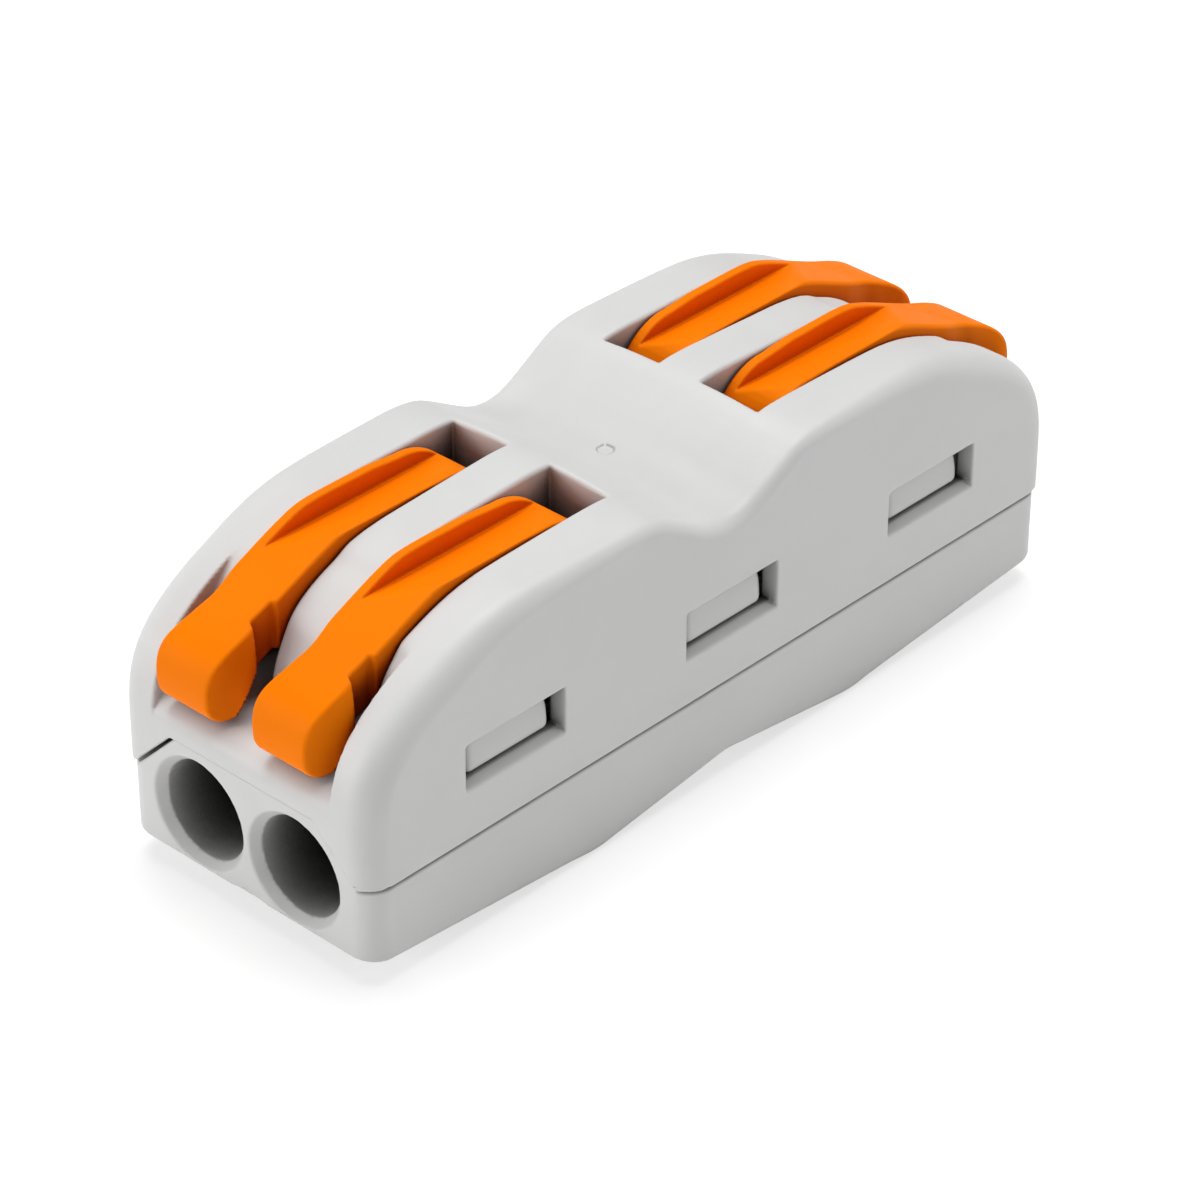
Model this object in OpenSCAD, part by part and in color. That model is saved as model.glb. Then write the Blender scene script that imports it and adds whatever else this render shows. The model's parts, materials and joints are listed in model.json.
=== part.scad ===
// Lever-operated wire connector, two poles, straight through, two wire entries at each end.
// +X runs along the length, +Y across the two poles, +Z up. The origin is the middle of the
// underside. Left is -X, right is +X, front is -Y and rear is +Y.
// Parts of one pole are drawn at the right-hand rear place and then mirrored or moved.

/* [Housing] */
// Overall length over the lever tips
overall_len = 50; // [46:0.5:56]
// Length of the upper housing
upper_len = 49.7; // [46:0.1:55]
// Width of the upper housing
upper_w = 17; // [15:0.1:20]
// Height of the two humps above the lowest point
hump_h = 17; // [15:0.1:20]
// Height of the saddle between the humps
saddle_h = 14.7; // [13:0.1:16]
// Height of the parting line between the two housing halves
parting_z = 5.45; // [4.5:0.05:6.5]
// Open gap seen at the parting line
parting_gap = 0.1; // [0.05:0.05:0.3]
// Corner radius in plan
corner_r = 1.4; // [0.5:0.1:3]
// Radius along the two long top edges
edge_r = 1.8; // [0.5:0.1:3]
// How far the lower housing is set in from the upper one, per side
lower_inset = 0.2; // [0:0.05:0.5]
// Height of the underside at the two ends
end_lift = 1.15; // [0:0.1:2]
// Distance from the middle to each of the two low points of the underside
low_x = 9.4; // [7:0.1:12]
// Height of the underside in the middle
mid_lift = 1.07; // [0:0.01:1.2]

/* [Poles] */
// Distance between the two poles
pitch = 6.5; // [5:0.1:8]
// Width of a lever slot
slot_w = 3.7; // [3:0.1:4.5]
// Distance from the middle to the inner end of a slot
slot_end = 5.4; // [4.5:0.1:7]
// Ceiling of the inner chamber
ceiling_z = 11.45; // [10.5:0.05:12]
// Height of the finger ledge at each end
ledge_z = 10; // [9.2:0.1:11]
// Where the slot floor begins, from the middle
floor_start = 17.8; // [16:0.1:20]
// Half width of the lever tip recess
recess_half = 5.95; // [5.5:0.05:6.5]
// Where the middle rib meets the ledge, from the middle
rib_end = 21.5; // [20:0.1:23]

/* [Wire entries] */
// Height of the wire axis
wire_z = 4.46; // [4:0.02:5]
// Radius of the wire entry
wire_r = 2.65; // [2:0.05:3]
// Radius at the mouth of the countersink
mouth_r = 3; // [2.7:0.05:3.2]
// Depth of the countersink
mouth_depth = 0.5; // [0.2:0.1:1]
// Length of the straight part of the entry
entry_len = 6; // [4:0.5:8]
// Radius where the funnel ends
funnel_r = 1.6; // [1.2:0.1:2.4]

/* [Windows and latches] */
// Length of a latch window
window_w = 6.6; // [5:0.1:8]
// Lower edge of a latch window
window_z0 = 8.25; // [7.5:0.05:9]
// Upper edge of a latch window
window_z1 = 10.85; // [10:0.05:11.2]
// Distance from the middle to the outer windows
window_x = 15.1; // [12:0.1:17]
// Length of a latch tab
tab_w = 5.6; // [4:0.1:6.4]

/* [Levers] */
// Width of a lever arm
arm_w = 3.5; // [3:0.05:4]
// Distance from the middle to a lever pivot
pivot_x = 9.6; // [8.5:0.1:11]
// Height of a lever pivot
pivot_z = 13.4; // [12.5:0.1:14]
// Radius of the round inner end of a lever
hub_r = 3.7; // [3:0.05:4]
// Radius of a trunnion
trunnion_r = 1.55; // [1:0.05:1.8]
// Radial clearance of a trunnion in its seat
trunnion_gap = 0.05; // [0.01:0.01:0.1]
// Length of a trunnion
trunnion_len = 1; // [0.5:0.1:1.2]
// Height of the flat top of a closed lever
lever_top = 17.3; // [17:0.05:17.6]
// Height of the foot of the thumb groove in a closed lever
groove_z = 16.2; // [15.6:0.05:17]
// Cam height above the spring with the lever closed
cam_low = 1.95; // [1.8:0.05:2.5]
// Rise of the cam for each radian
cam_rise = 0.84; // [0.4:0.02:1]

/* [Springs and busbars] */
// Thickness of the spring strip
strip_t = 0.5; // [0.3:0.05:0.7]
// Width of the spring strip
strip_w = 3.4; // [2.6:0.1:3.5]
// Width of the clamping window in the strip
strip_window_w = 2.4; // [1.8:0.1:2.6]
// Outer radius of the spring loop
loop_r = 2.4; // [1.8:0.1:2.8]
// Distance from the middle to the centre of the loop
loop_x = 3.2; // [3:0.1:4]
// Thickness of a busbar
bar_t = 0.8; // [0.5:0.1:1.2]
// Underside of a busbar
bar_z = 5.8; // [5.6:0.05:6.2]
// Half length of a busbar
bar_half = 13.9; // [13.2:0.1:15]
// Width of a busbar at its clamping ends
bar_end_w = 2.2; // [1.6:0.1:2.4]
// Width of a busbar between the springs
bar_mid_w = 3.3; // [2.4:0.1:3.5]

/* [Quality] */
// Facets on round shapes
facets = 48; // [24:4:96]

/* [Hidden] */
$fn = facets;
overlap = 0.01;
overcut = 1; // how far a cut runs past the face or hollow it opens into
tall = 30;   // height of a plan outline that reaches over the whole body

pole_y = pitch / 2;
upper_half = upper_len / 2;
lower_half = upper_half - lower_inset;
lower_w = upper_w - 2 * lower_inset;
upper_z = parting_z + parting_gap / 2; // lower face of the upper housing
lower_z = parting_z - parting_gap / 2; // upper face of the lower housing
wall_y = 7.4;                          // inner face of the upper side walls
rib_half = pole_y - slot_w / 2;        // half width of the rib between the poles
window_places = [-window_x, 0, window_x];
block_start = 16.8; // inner face of a wire entry block, from the middle
block_top = 8.25;
trunnion_span = arm_w + 2 * trunnion_len;
bar_top = bar_z + bar_t;
loop_z = bar_top + loop_r;
leg_top = loop_z + loop_r;

plastic_grey = [0.80, 0.80, 0.80];
plastic_orange = [1.0, 0.47, 0.02];
steel_col = [0.75, 0.75, 0.77];
copper_col = [0.85, 0.62, 0.45];

// ---- Helpers ----

// The two ends of a width laid evenly about a middle
function span(middle, width) = [middle - width / 2, middle + width / 2];

// Half an outline, an optional middle part, and the mirror image of the half
function symmetric(half, middle = []) = concat(half, middle,
  [for (i = [len(half) - 1:-1:0]) [-half[i][0], half[i][1]]]);

// A block from its [from, to] ranges
module box(x, y, z) {
  translate([x[0], y[0], z[0]]) cube([x[1] - x[0], y[1] - y[0], z[1] - z[0]]);
}

// An outline in X and Z given a width along Y
module slab(points, width, y = pole_y) {
  translate([0, y + width / 2, 0]) rotate([90, 0, 0]) linear_extrude(width) polygon(points);
}

// A rod along Y, centred on the pole
module rod(x, z, radius, width) {
  translate([x, pole_y + width / 2, z]) rotate([90, 0, 0]) cylinder(h = width, r = radius);
}

// A section in Y and Z drawn out along X
module along_x(x0, x1) {
  translate([x0, 0, 0]) rotate([90, 0, 90]) linear_extrude(x1 - x0) children();
}

module both_poles() {
  children();
  mirror([0, 1, 0]) children();
}

module both_ends() {
  children();
  mirror([1, 0, 0]) children();
}

// Tall column over a plan with rounded corners
module column(half_x, half_y) {
  linear_extrude(tall) {
    square([2 * (half_x - corner_r), 2 * half_y], center = true);
    square([2 * half_x, 2 * (half_y - corner_r)], center = true);
    for (sx = [-1, 1], sy = [-1, 1])
      translate([sx * (half_x - corner_r), sy * (half_y - corner_r)]) circle(r = corner_r);
  }
}

// ---- Upper housing ----

chamber_y = 5.35;     // outer side of a spring chamber
stop_half = 0.7;      // half thickness of the stop wall between the two loops
channel_y = 5.3;      // inner side of the channel for the lower side wall and tabs
channel_half = 18.6;  // half length of that channel
seat_r = trunnion_r + trunnion_gap;
seat_span = trunnion_span + 2 * 0.05; // 0.05 of play at each end of the trunnions

// Right half of the side outline, from the end to the middle: x, z
top_line = [
  [upper_half, upper_z], [upper_half, 9], [upper_half - 0.08, 10], [upper_half - 0.28, 10.9],
  [upper_half - 0.65, 11.75], [upper_half - 1.3, 12.6], [upper_half - 2.1, 13.4],
  [upper_half - 3, 14.1], [upper_half - 3.95, 14.7],
  [20, 15.17], [19, 15.65], [18, 16.1], [17, 16.48], [16, 16.77], [15, hump_h - 0.06],
  [14, hump_h], [5.7, hump_h], [5.2, hump_h - 0.1], [4.6, hump_h - 0.34], [4, hump_h - 0.65],
  [3.2, hump_h - 1.13], [2.4, saddle_h + 0.72], [1.6, saddle_h + 0.33], [0.8, saddle_h + 0.08]];

// Lever tip recess: x, z down its sloping floor to the ledge, then round outside the housing
recess_line = [
  [16.2, 16.74], [17.1, 16.2], [18.2, 15.7], [19.3, 15.1], [19.85, 14.6], [20.4, 13.85],
  [21, 12.6], [rib_end, 11.6], [rib_end, ledge_z], [26, ledge_z], [26, 18], [16.2, 18]];

// Half section of the room for a wire entry block: y, z
block_room = [[7.62, upper_z - overcut], [7.62, upper_z + 0.05], [4.75, block_top + 0.1]];

module upper_body() {
  intersection() {
    slab(symmetric(top_line, [[0, saddle_h]]), upper_w, y = 0);
    column(upper_half, upper_w / 2);
    // rounded long top edges
    along_x(-40, 40) {
      translate([-upper_w / 2, 0]) square([upper_w, hump_h - edge_r]);
      translate([-upper_w / 2 + edge_r, 0]) square([upper_w - 2 * edge_r, hump_h]);
      for (side = [-1, 1])
        translate([side * (upper_w / 2 - edge_r), hump_h - edge_r]) circle(r = edge_r);
    }
  }
}

// Lever slot and trunnion seats, at one end of one pole
module lever_room() {
  slot_y = span(pole_y, slot_w);
  // slot open to the chamber, then slot over its floor
  box([slot_end, floor_start], slot_y, [ceiling_z - overcut, hump_h + overcut]);
  box([floor_start - overlap, upper_half + overcut], slot_y, [ledge_z, hump_h + overcut]);
  // trunnion seats, open downwards so that the levers go in from below
  rod(pivot_x, pivot_z, seat_r, seat_span);
  box(span(pivot_x, 2 * seat_r), span(pole_y, seat_span), [ceiling_z - overcut, pivot_z]);
}

module upper_housing() color(plastic_grey) {
  cut_z = upper_z - overcut;
  difference() {
    upper_body();
    both_poles() {
      // spring chambers on both sides of the stop wall
      both_ends() box([stop_half, floor_start], [rib_half, chamber_y], [cut_z, ceiling_z]);
      // passage for the busbar under the stop wall
      box([-1, 1], [rib_half, chamber_y], [cut_z, bar_top + 0.1]);
      // channel for the side wall and latch tabs of the lower housing
      box([-channel_half, channel_half], [channel_y, wall_y], [cut_z, ceiling_z]);
      both_ends() lever_room();
      // latch windows
      for (x = window_places)
        box(span(x, window_w), [wall_y - 0.5, upper_w / 2 + overcut], [window_z0, window_z1]);
    }
    both_ends() {
      slab(recess_line, 2 * recess_half, y = 0);
      along_x(block_start - 0.2, block_start + 11.8) polygon(symmetric(block_room));
    }
    // gate mark
    translate([0, 0, saddle_h - 0.1]) cylinder(h = 1, r = 0.5);
  }
}

// ---- Lower housing ----

tab_y = 6.2;               // inner face of the latch tabs and outer side of the tray
tab_t = 1;
pocket_y = 5.4;            // inner side of the pockets beside the tabs
pocket_z = 2.2;
tray_z = 1.5;
tray_cut_z = lower_z + 8;  // top of the tray and pocket cuts
shelf_half = 6.5;          // half length of the busbar shelf

// Right half of the underside, from the middle to the end and up to the parting line: x, z
bottom_line = [
  [0.4, mid_lift], [low_x - 1, 0.1], [low_x - 0.6, 0.02], [low_x - 0.5, 0], [low_x + 0.5, 0],
  [low_x + 0.7, 0.02], [low_x + 1.2, 0.09], [lower_half - 0.3, end_lift - 0.04],
  [lower_half - 0.08, end_lift + 0.06], [lower_half, end_lift + 0.25], [lower_half, lower_z]];

// Half section of a wire entry block: y, z
block_line = [[7.5, lower_z - 0.5], [7.5, lower_z], [7.4, upper_z], [4.7, block_top]];

// Section of a latch nose: y, z
nose_line = [[7.1, 8.4], [7.6, 8.43], [7.87, 8.6], [7.95, 8.85], [7.95, 9.4], [7.88, 9.9],
  [7.7, 10.4], [7.4, 10.8], [7.1, 10.9]];

module latch_tab(x) {
  tab_x = span(x, tab_w);
  box(tab_x, [tab_y, tab_y + tab_t], [3, 11.1]);
  along_x(tab_x[0], tab_x[1]) polygon(nose_line);
}

module lower_body() {
  intersection() {
    slab(symmetric(bottom_line), lower_w, y = 0);
    column(lower_half, lower_w / 2);
  }
  // wire entry blocks that stand up into the upper housing
  both_ends() intersection() {
    along_x(block_start, lower_half) polygon(symmetric(block_line));
    column(lower_half, lower_w / 2);
  }
  both_poles() for (x = window_places) latch_tab(x);
}

// A cone or cylinder on the wire axis
module wire_bore(x0, x1, r0, r1) {
  translate([x0, pole_y, wire_z]) rotate([0, 90, 0]) cylinder(h = x1 - x0, r1 = r0, r2 = r1);
}

// Straight part, countersink and funnel of a wire entry
module wire_entry() {
  entry_x = lower_half - entry_len;
  wire_bore(entry_x, lower_half + overcut, wire_r, wire_r);
  wire_bore(lower_half - mouth_depth, lower_half + overlap, wire_r, mouth_r);
  wire_bore(block_start - overlap, entry_x + overlap, funnel_r, wire_r);
}

module lower_housing() color(plastic_grey) {
  difference() {
    lower_body();
    both_poles() {
      both_ends() {
        // tray
        box([shelf_half, block_start], [rib_half, tab_y], [tray_z, tray_cut_z]);
        // relief behind each outer latch tab so that it can flex
        box([window_x - tab_w / 2 - 0.4, block_start], [pocket_y, tab_y + overlap],
          [pocket_z, tray_cut_z]);
        wire_entry();
      }
      // pocket behind the middle tab
      box([-3.3, 3.3], [pocket_y, tab_y], [pocket_z, tray_cut_z]);
    }
  }
  // shelf under each busbar
  both_poles() box([-shelf_half, shelf_half], [rib_half + 0.1, 5.2], [2, bar_z - 0.02]);
}

// ---- Levers ----

// Point on the cam under the pivot, whose height grows evenly with the angle
function cam_point(angle) = let (height = cam_low + cam_rise * angle * PI / 180)
  [pivot_x - (height * sin(angle) + cam_rise * cos(angle)),
   pivot_z + (-height * cos(angle) + cam_rise * sin(angle))];

// Side outline of the arm: cam, round inner end, then x, z along the top and back below
arm_line = concat(
  [for (angle = [0:8:104]) cam_point(angle)],
  [for (angle = [126:6:180]) [pivot_x - hub_r * sin(angle), pivot_z - hub_r * cos(angle)]],
  [[10.6, lever_top - 0.08], [11.4, lever_top], [15.6, lever_top], [16.3, lever_top - 0.1],
   [17.3, lever_top - 0.42], [18.4, lever_top - 0.83], [19.8, 15.85], [20.6, 15.45],
   [20.8, 15.37], [20.8, 12.7], [19, 13.1], [12.6, 13.1], [11.6, 12.2],
   [10.9, pivot_z - cam_low]]);

// Side outline of the tip: x, z
tip_line = [
  [20.4, 15.55], [20.7, 15.4], [21.6, 15], [22.6, 14.65], [23.6, 14.22], [24.3, 13.75],
  [24.75, 13.2], [overall_len / 2, 12.3], [24.95, 11.5], [24.6, 10.8], [24.1, 10.45],
  [23.5, 10.6], [22.4, 11.5], [20.7, 12.7], [20.4, 12.75]];

// Plan of the tip: x, y from the pole.
// It has a small notch and a flared facet on one side, a soft waist on the other.
tip_plan = [
  [20, -1.6], [22.1, -1.62], [22.3, -2.15], [23, -2.2], [23.8, -2], [24.4, -1.75],
  [24.8, -1.45], [25.2, -1.2], [25.2, 2.1], [24.7, 2.12], [24.3, 2.02], [23.8, 1.85],
  [23.3, 1.72], [22.6, 1.6], [21.9, 1.5], [21.4, 1.53], [20.8, 1.64], [20, 1.7]];
tip_w = 4.7;

// Section of the thumb groove, one steep wall and one gentle slope: y from the pole, z
groove_line = [[1.15, 19], [1.1, groove_z], [-1.8, lever_top - 0.1], [-1.8, 19]];

// hand is 1 or -1 and sets the side of the notch in the tip
module lever(hand = 1) color(plastic_orange) {
  difference() {
    union() {
      slab(arm_line, arm_w);
      rod(pivot_x, pivot_z, trunnion_r, trunnion_span);
      intersection() {
        slab(tip_line, tip_w);
        linear_extrude(tall) translate([0, pole_y])
          polygon([for (point = tip_plan) [point[0], hand * point[1]]]);
      }
    }
    along_x(4, 26) translate([pole_y, 0]) polygon(groove_line);
  }
}

// ---- Busbars and springs ----

foot_end = 7.2;    // outer end of the spring foot
loop_angle = -264; // where the loop ends, having begun at -90 on the busbar
bend_x = 12;       // centre of the bend between the top leg and the down leg
bend_r = 1;        // outer radius of that bend

// A straight strip with narrow clamping ends
module busbar() color(copper_col) {
  bar_range = [bar_z, bar_top];
  box([-bar_half, bar_half], span(pole_y, bar_end_w), bar_range);
  box([-7.6, 7.6], span(pole_y, bar_mid_w), bar_range);
}

function loop_arc(radius, angles) =
  [for (angle = angles) [loop_x + radius * cos(angle), loop_z + radius * sin(angle)]];

// Fixed part of a spring: the foot on the busbar and the back loop, one bent outline
module spring_loop() color(steel_col) {
  outer_r = loop_r - 0.01;
  inner_r = loop_r - strip_t;
  slab(concat(
    [[foot_end, loop_z - outer_r]],
    loop_arc(outer_r, [-90:-6:loop_angle]),
    loop_arc(inner_r, [loop_angle:6:-90]),
    [[foot_end, loop_z - inner_r]]), strip_w);
}

// Moving part of a spring: the top leg and the down leg with its clamping window
module spring_leg() color(steel_col) {
  strip_y = span(pole_y, strip_w);
  inner_r = bend_r - strip_t;
  bend_z = leg_top - bend_r;
  difference() {
    union() {
      box([loop_x + 0.02, bend_x], strip_y, [leg_top - strip_t, leg_top]);
      translate([bend_x, strip_y[1], bend_z]) rotate([90, 0, 0]) rotate_extrude(angle = 90)
        translate([inner_r, 0]) square([strip_t, strip_w]);
      box([bend_x + inner_r, bend_x + bend_r], strip_y, [4.95, bend_z + overlap]);
    }
    // clamping window
    box([bend_x, 14], span(pole_y, strip_window_w), [bar_z - 0.05, 9.5]);
  }
}

// ---- Placing ----

module left() { mirror([1, 0, 0]) children(); }
module front() { mirror([0, 1, 0]) children(); }
// Both poles have the same lever, so the front one is moved over and not mirrored
module front_lever(hand = 1) { translate([0, -pitch, 0]) lever(hand); }

upper_housing();
lower_housing();
left() front_lever();  // lever_left_front
left() lever();  // lever_left_rear
front_lever(hand = -1);  // lever_right_front
lever(hand = -1);  // lever_right_rear
front() busbar();  // busbar_front
busbar();  // busbar_rear
left() front() spring_loop();  // spring_loop_left_front
left() spring_loop();  // spring_loop_left_rear
front() spring_loop();  // spring_loop_right_front
spring_loop();  // spring_loop_right_rear
left() front() spring_leg();  // spring_leg_left_front
left() spring_leg();  // spring_leg_left_rear
front() spring_leg();  // spring_leg_right_front
spring_leg();  // spring_leg_right_rear
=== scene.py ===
"""A four-lever, two-pole wire connector with closed levers, on white paper.

X runs along the wires: left is -X, right is +X. Front is -Y and rear is +Y. The floor is z = 0.
Shapes are worked out in millimetres and scaled to metres when they become meshes.
"""

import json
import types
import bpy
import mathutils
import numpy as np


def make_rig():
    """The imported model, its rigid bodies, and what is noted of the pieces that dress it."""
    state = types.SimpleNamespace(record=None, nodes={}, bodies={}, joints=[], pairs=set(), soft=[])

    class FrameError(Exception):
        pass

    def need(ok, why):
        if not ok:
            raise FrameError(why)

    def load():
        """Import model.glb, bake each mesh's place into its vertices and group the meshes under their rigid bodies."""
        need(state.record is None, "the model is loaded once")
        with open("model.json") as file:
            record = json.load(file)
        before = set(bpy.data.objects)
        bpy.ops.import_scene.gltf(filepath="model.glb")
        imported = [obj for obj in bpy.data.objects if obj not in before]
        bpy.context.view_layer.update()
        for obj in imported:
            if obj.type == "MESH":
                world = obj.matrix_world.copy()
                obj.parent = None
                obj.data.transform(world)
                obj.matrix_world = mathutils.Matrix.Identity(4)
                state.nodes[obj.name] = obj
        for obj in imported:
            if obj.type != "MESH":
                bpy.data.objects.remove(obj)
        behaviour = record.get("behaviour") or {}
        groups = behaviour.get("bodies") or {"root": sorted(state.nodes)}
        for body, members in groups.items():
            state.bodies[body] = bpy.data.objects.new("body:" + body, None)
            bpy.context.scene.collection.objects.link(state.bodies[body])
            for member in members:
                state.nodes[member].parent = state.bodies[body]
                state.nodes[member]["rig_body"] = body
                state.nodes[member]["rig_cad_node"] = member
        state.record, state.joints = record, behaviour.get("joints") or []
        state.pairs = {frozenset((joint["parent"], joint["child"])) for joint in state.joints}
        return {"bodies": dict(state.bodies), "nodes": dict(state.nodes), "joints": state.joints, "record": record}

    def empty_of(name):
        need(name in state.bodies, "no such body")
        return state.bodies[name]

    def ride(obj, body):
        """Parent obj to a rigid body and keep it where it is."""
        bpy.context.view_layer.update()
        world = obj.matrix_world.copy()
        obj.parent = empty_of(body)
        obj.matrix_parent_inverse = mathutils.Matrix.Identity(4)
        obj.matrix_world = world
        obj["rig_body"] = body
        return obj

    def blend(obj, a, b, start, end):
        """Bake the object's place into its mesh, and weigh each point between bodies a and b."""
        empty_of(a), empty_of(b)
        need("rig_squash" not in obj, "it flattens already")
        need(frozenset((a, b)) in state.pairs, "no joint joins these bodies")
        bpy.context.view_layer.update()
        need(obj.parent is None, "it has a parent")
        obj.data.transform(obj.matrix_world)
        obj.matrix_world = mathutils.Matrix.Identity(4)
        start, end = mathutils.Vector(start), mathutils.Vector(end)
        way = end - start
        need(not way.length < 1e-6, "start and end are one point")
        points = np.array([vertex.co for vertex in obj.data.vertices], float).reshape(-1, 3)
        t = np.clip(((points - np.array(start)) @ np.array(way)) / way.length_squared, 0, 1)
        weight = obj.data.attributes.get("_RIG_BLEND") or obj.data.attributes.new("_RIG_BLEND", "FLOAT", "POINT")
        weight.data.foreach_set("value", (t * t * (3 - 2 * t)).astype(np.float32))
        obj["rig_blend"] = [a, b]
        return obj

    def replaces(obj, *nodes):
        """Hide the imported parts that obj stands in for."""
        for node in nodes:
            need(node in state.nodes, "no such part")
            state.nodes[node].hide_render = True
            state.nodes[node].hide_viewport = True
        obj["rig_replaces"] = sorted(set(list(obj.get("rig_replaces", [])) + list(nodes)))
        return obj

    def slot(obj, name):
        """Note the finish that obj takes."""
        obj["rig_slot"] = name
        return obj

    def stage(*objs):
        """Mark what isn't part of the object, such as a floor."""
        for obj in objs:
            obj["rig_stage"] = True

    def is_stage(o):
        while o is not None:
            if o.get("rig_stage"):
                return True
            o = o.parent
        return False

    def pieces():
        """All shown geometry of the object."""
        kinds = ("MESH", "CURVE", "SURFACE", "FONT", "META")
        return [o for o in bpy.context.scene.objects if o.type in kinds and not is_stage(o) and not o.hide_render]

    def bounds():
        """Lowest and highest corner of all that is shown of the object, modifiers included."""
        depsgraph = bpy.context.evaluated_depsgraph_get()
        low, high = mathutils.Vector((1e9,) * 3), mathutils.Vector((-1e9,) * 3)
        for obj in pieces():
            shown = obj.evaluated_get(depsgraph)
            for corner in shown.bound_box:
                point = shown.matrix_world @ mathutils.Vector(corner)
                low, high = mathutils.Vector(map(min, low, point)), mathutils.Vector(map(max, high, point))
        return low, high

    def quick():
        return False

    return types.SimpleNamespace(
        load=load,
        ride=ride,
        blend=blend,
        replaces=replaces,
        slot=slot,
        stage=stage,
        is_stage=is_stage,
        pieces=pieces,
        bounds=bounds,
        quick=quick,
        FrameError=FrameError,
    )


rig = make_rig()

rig.load()

import itertools
import json
import math

import bmesh
import bpy
import numpy as np
from mathutils import Matrix, Vector


def plain(value):
    """The value as numbers, strings, lists and dicts that json can write."""
    if isinstance(value, dict):
        return {str(key): plain(item) for key, item in value.items()}
    if isinstance(value, (str, int, float, bool)) or value is None:
        return value
    # guards number types that are neither plain numbers nor sequences
    try:
        return [plain(item) for item in value]
    except TypeError:
        return float(value)


cad_bounds = plain(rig.bounds())

# ------------------------------------------------------------------
# driving dimensions, mm
# ------------------------------------------------------------------
MM = 0.001  # metres in a millimetre
SIDES = (("left", -1), ("right", 1))
ROWS = (("front", -1), ("rear", 1))
POLE_Y = 3.25  # a pole's distance from the middle
UPPER_HALF_LENGTH, UPPER_HALF_WIDTH = 24.85, 8.5
LOWER_HALF_LENGTH, LOWER_HALF_WIDTH = 24.65, 8.38
PARTING_Z = 5.45
PIVOT_X, PIVOT_Z = 9.6, 13.4  # lever pivot
SEAT_RADIUS, PIN_RADIUS = 1.6, 1.55  # trunnion seats and trunnions
WIRE_Z = 4.46  # wire axis
LATCH_X = 15.1  # outer latches; there is another at x = 0
BUSBAR_Z, BUSBAR_THICKNESS = 5.8, 0.8
WIRE_STOP_Z = BUSBAR_Z - 0.02

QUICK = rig.quick()
HOUSING_STEP = 0.22 if QUICK else 0.16  # grid pitch of the housing skins
LEVER_STEP = 0.16 if QUICK else 0.1

# ------------------------------------------------------------------
# distance fields, negative inside
# ------------------------------------------------------------------


def radial(a, b):
    return np.sqrt(a**2 + b**2)


def smoothstep(t):
    t = np.clip(t, 0, 1)
    return t * t * (3 - 2 * t)


def meet(a, b, radius):
    """Both a and b, with an outer edge of the given radius."""
    corner = radial(np.maximum(a + radius, 0), np.maximum(b + radius, 0))
    return np.minimum(np.maximum(a, b) + radius, 0) + corner - radius


def cut(body, tool, radius):
    return meet(body, -tool, radius)


def box2(x, y, x0, x1, y0, y1, radius=0.0):
    u = np.abs(x - (x0 + x1) / 2) - ((x1 - x0) / 2 - radius)
    v = np.abs(y - (y0 + y1) / 2) - ((y1 - y0) / 2 - radius)
    outside = radial(np.maximum(u, 0), np.maximum(v, 0))
    return outside + np.minimum(np.maximum(u, v), 0) - radius


def box3(x, y, z, low, high, radius):
    gaps = [np.abs(p - (a + b) / 2) - ((b - a) / 2 - radius)
            for p, a, b in zip((x, y, z), low, high)]
    outside = np.sqrt(sum(np.maximum(gap, 0) ** 2 for gap in gaps))
    inside = np.minimum(np.maximum(np.maximum(gaps[0], gaps[1]), gaps[2]), 0)
    return outside + inside - radius


def boxes(x, y, z, table):
    """All boxes of a table of low corner, high corner, edge radius."""
    body = box3(x, y, z, *table[0])
    for entry in table[1:]:
        body = np.minimum(body, box3(x, y, z, *entry))
    return body


def slope45(across, up):
    """A plane falling at 45 degrees away from the middle."""
    return across * math.sqrt(0.5) + up * math.sqrt(0.5)


def smooth_line(points, per):
    """A smooth centripetal curve through points, with per steps between neighbours."""

    def between(a, b, start, end, t):
        return (end - t) / (end - start) * a + (t - start) / (end - start) * b

    p = np.array(points, float)
    p = np.vstack([2 * p[0] - p[1], p, 2 * p[-1] - p[-2]])
    line = []
    for a, b, c, d in zip(p, p[1:], p[2:], p[3:]):
        t0 = 0.0
        t1 = t0 + np.linalg.norm(b - a) ** 0.5
        t2 = t1 + np.linalg.norm(c - b) ** 0.5
        t3 = t2 + np.linalg.norm(d - c) ** 0.5
        for t in np.linspace(t1, t2, per, endpoint=False):
            middle = between(b, c, t1, t2, t)
            first = between(between(a, b, t0, t1, t), middle, t0, t2, t)
            last = between(middle, between(c, d, t2, t3, t), t1, t3, t)
            line.append(between(first, last, t1, t2, t))
    line.append(p[-2])
    return [tuple(point) for point in line]


def mirrored(half):
    """A line with its copy in -x after it, in reverse order."""
    return half + [(-x, z) for x, z in half[::-1]]


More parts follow.
